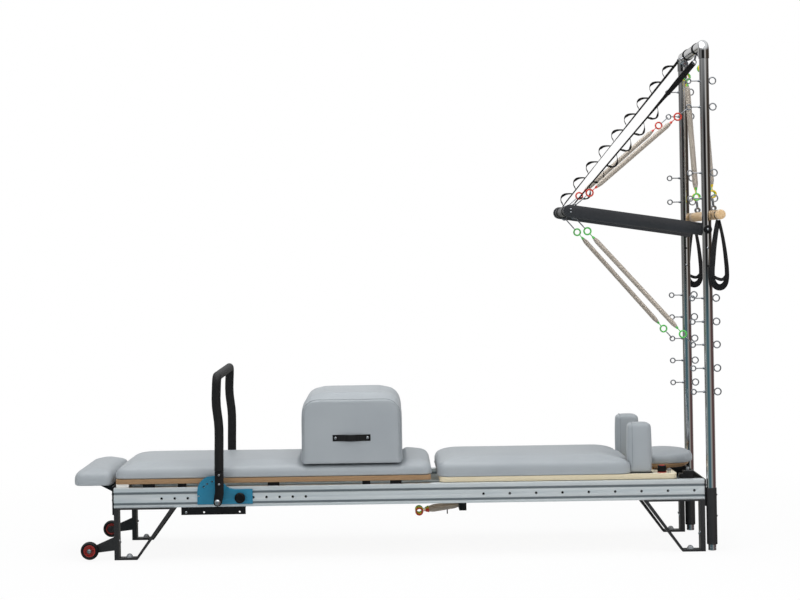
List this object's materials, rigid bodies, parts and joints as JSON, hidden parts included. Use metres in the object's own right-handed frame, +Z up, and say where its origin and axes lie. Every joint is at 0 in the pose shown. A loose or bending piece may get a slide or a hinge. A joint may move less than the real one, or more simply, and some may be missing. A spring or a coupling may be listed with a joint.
{
  "type": "pilates reformer with half tower",
  "caption": "Reformer bed on folded steel legs with a mat infill, sitting box, tilting footbar and a tower with a push-through bar, tension springs and a sprung roll-down bar.",
  "frame": {"origin": "on the floor under the centre of the unit's bounding box", "axes": "+X along the rails from the foot end towards the tower, +Y across the unit to the far side, +Z up"},
  "size_m": [2.6246, 0.77, 2.0453],
  "materials": {
    "rail_aluminium": "satin anodised extrusion",
    "black_steel": "black powder coat",
    "chrome_tube": "bright plated tube",
    "charcoal_paint": "charcoal powder coat",
    "blue_paint": "blue satin paint",
    "spring_wire": "plated spring wire with coloured end rings",
    "grey_vinyl": "grey upholstery vinyl over foam",
    "brown_ply": "brown faced plywood",
    "birch_ply": "clear lacquered birch plywood",
    "maple": "turned and lacquered maple",
    "foam_grip": "black foam grip",
    "black_webbing": "black nylon webbing",
    "wheel_rubber": "black rubber tread"
  },
  "bodies": {
    "frame": {"near_rail": "rail_aluminium", "far_rail": "rail_aluminium", "foot_end_plate": "black_steel", "head_end_plate": "black_steel", "near_foot_leg": "black_steel", "near_head_leg": "black_steel", "far_foot_leg": "black_steel", "far_head_leg": "black_steel", "near_tower_sleeve": "black_steel", "far_tower_sleeve": "black_steel", "near_post": "chrome_tube", "far_post": "chrome_tube", "top_crossbar": "chrome_tube", "near_gear_rail": "black_steel", "far_gear_rail": "black_steel", "spring_bar": "black_steel", "foot_pad": "grey_vinyl", "near_yellow_spring": "spring_wire", "near_green_spring": "spring_wire", "far_yellow_spring": "spring_wire", "far_green_spring": "spring_wire", "near_upper_spring": "spring_wire", "near_lower_spring": "spring_wire", "far_upper_spring": "spring_wire", "far_lower_spring": "spring_wire", "near_safety_strap": "black_webbing", "far_safety_strap": "black_webbing"},
    "near_transport_wheel": {"near_transport_wheel": "wheel_rubber"},
    "far_transport_wheel": {"far_transport_wheel": "wheel_rubber"},
    "footbar_carrier": {"near_slide_plate": "blue_paint", "far_slide_plate": "blue_paint"},
    "near_plunger": {"near_plunger": "foam_grip"},
    "far_plunger": {"far_plunger": "foam_grip"},
    "footbar": {"footbar": "foam_grip", "near_footbar_arm": "black_steel", "far_footbar_arm": "black_steel"},
    "push_through_bar": {"push_bar": "charcoal_paint", "near_push_arm": "charcoal_paint", "far_push_arm": "charcoal_paint"},
    "roll_down_bar": {"roll_down_bar": "maple", "near_leg_loop": "black_webbing", "far_leg_loop": "black_webbing"},
    "mat": {"mat_board": "brown_ply", "mat_cushion": "grey_vinyl"},
    "sitting_box": {"sitting_box": "grey_vinyl"},
    "carriage": {"carriage_board": "birch_ply", "carriage_cushion": "grey_vinyl", "spring_rack": "black_steel", "parked_red_spring": "spring_wire", "parked_yellow_spring": "spring_wire", "parked_green_spring": "spring_wire"},
    "near_foot_track_wheel": {"near_foot_track_wheel": "wheel_rubber"},
    "near_head_track_wheel": {"near_head_track_wheel": "wheel_rubber"},
    "far_foot_track_wheel": {"far_foot_track_wheel": "wheel_rubber"},
    "far_head_track_wheel": {"far_head_track_wheel": "wheel_rubber"},
    "near_shoulder_rest": {"near_shoulder_rest": "grey_vinyl"},
    "far_shoulder_rest": {"far_shoulder_rest": "grey_vinyl"},
    "headrest": {"headrest_board": "brown_ply", "headrest_cushion": "grey_vinyl"}
  },
  "joints": [
    {"name": "near_transport_wheel_spin", "type": "hinge", "parent": "frame", "child": "near_transport_wheel", "pos_m": [-1.24525, -0.3123, 0.042], "axis": [0, 1, 0], "continuous": true},
    {"name": "far_transport_wheel_spin", "type": "hinge", "parent": "frame", "child": "far_transport_wheel", "pos_m": [-1.24525, 0.3123, 0.042], "axis": [0, 1, 0], "continuous": true},
    {"name": "footbar_position", "type": "slide", "parent": "frame", "child": "footbar_carrier", "axis": [1, 0, 0], "range_m": [-0.315, 0.2625]},
    {"name": "near_plunger_pull", "type": "slide", "parent": "footbar_carrier", "child": "near_plunger", "axis": [0, -1, 0], "range_m": [0, 0.008], "stiffness_N_per_m": 800, "springref_m": -0.004},
    {"name": "far_plunger_pull", "type": "slide", "parent": "footbar_carrier", "child": "far_plunger", "axis": [0, 1, 0], "range_m": [0, 0.008], "stiffness_N_per_m": 800, "springref_m": -0.004},
    {"name": "footbar_tilt", "type": "hinge", "parent": "footbar_carrier", "child": "footbar", "pos_m": [-0.72925, 0, 0.23], "axis": [0, -1, 0], "range_deg": [0, 62]},
    {"name": "push_through_swing", "type": "hinge", "parent": "frame", "child": "push_through_bar", "pos_m": [1.23875, 0, 1.282], "axis": [0, 1, 0], "range_deg": [0, 50], "deforming": ["near_upper_spring", "near_lower_spring", "far_upper_spring", "far_lower_spring", "near_safety_strap", "far_safety_strap"]},
    {"name": "roll_down_pull", "type": "slide", "parent": "frame", "child": "roll_down_bar", "axis": [0, 0, -1], "range_m": [0, 0.25], "stiffness_N_per_m": 200, "springref_m": -0.1, "deforming": ["near_yellow_spring", "near_green_spring", "far_yellow_spring", "far_green_spring"]},
    {"name": "mat_lift", "type": "slide", "parent": "frame", "child": "mat", "axis": [0, 0, 1], "range_m": [0, 0.25]},
    {"name": "sitting_box_lift", "type": "slide", "parent": "mat", "child": "sitting_box", "axis": [0, 0, 1], "range_m": [0, 0.3]},
    {"name": "carriage_travel", "type": "slide", "parent": "frame", "child": "carriage", "axis": [1, 0, 0], "range_m": [-0.012, 0.01]},
    {"name": "near_foot_track_wheel_spin", "type": "hinge", "parent": "carriage", "child": "near_foot_track_wheel", "pos_m": [0.25075, -0.2615, 0.2588], "axis": [0, 1, 0], "continuous": true},
    {"name": "near_head_track_wheel_spin", "type": "hinge", "parent": "carriage", "child": "near_head_track_wheel", "pos_m": [1.00075, -0.2615, 0.2588], "axis": [0, 1, 0], "continuous": true},
    {"name": "far_foot_track_wheel_spin", "type": "hinge", "parent": "carriage", "child": "far_foot_track_wheel", "pos_m": [0.25075, 0.2615, 0.2588], "axis": [0, 1, 0], "continuous": true},
    {"name": "far_head_track_wheel_spin", "type": "hinge", "parent": "carriage", "child": "far_head_track_wheel", "pos_m": [1.00075, 0.2615, 0.2588], "axis": [0, 1, 0], "continuous": true},
    {"name": "near_shoulder_rest_lift", "type": "slide", "parent": "carriage", "child": "near_shoulder_rest", "axis": [0, 0, 1], "range_m": [0, 0.12]},
    {"name": "far_shoulder_rest_lift", "type": "slide", "parent": "carriage", "child": "far_shoulder_rest", "axis": [0, 0, 1], "range_m": [0, 0.12]},
    {"name": "headrest_tilt", "type": "hinge", "parent": "carriage", "child": "headrest", "pos_m": [1.03093, 0, 0.31365], "axis": [0, -1, 0], "range_deg": [0, 30]}
  ],
  "couplings": [
    {"joint": "near_foot_track_wheel_spin", "follows": "carriage_travel", "rad_per_m": 46.512},
    {"joint": "near_head_track_wheel_spin", "follows": "carriage_travel", "rad_per_m": 46.512},
    {"joint": "far_foot_track_wheel_spin", "follows": "carriage_travel", "rad_per_m": 46.512},
    {"joint": "far_head_track_wheel_spin", "follows": "carriage_travel", "rad_per_m": 46.512}
  ]
}
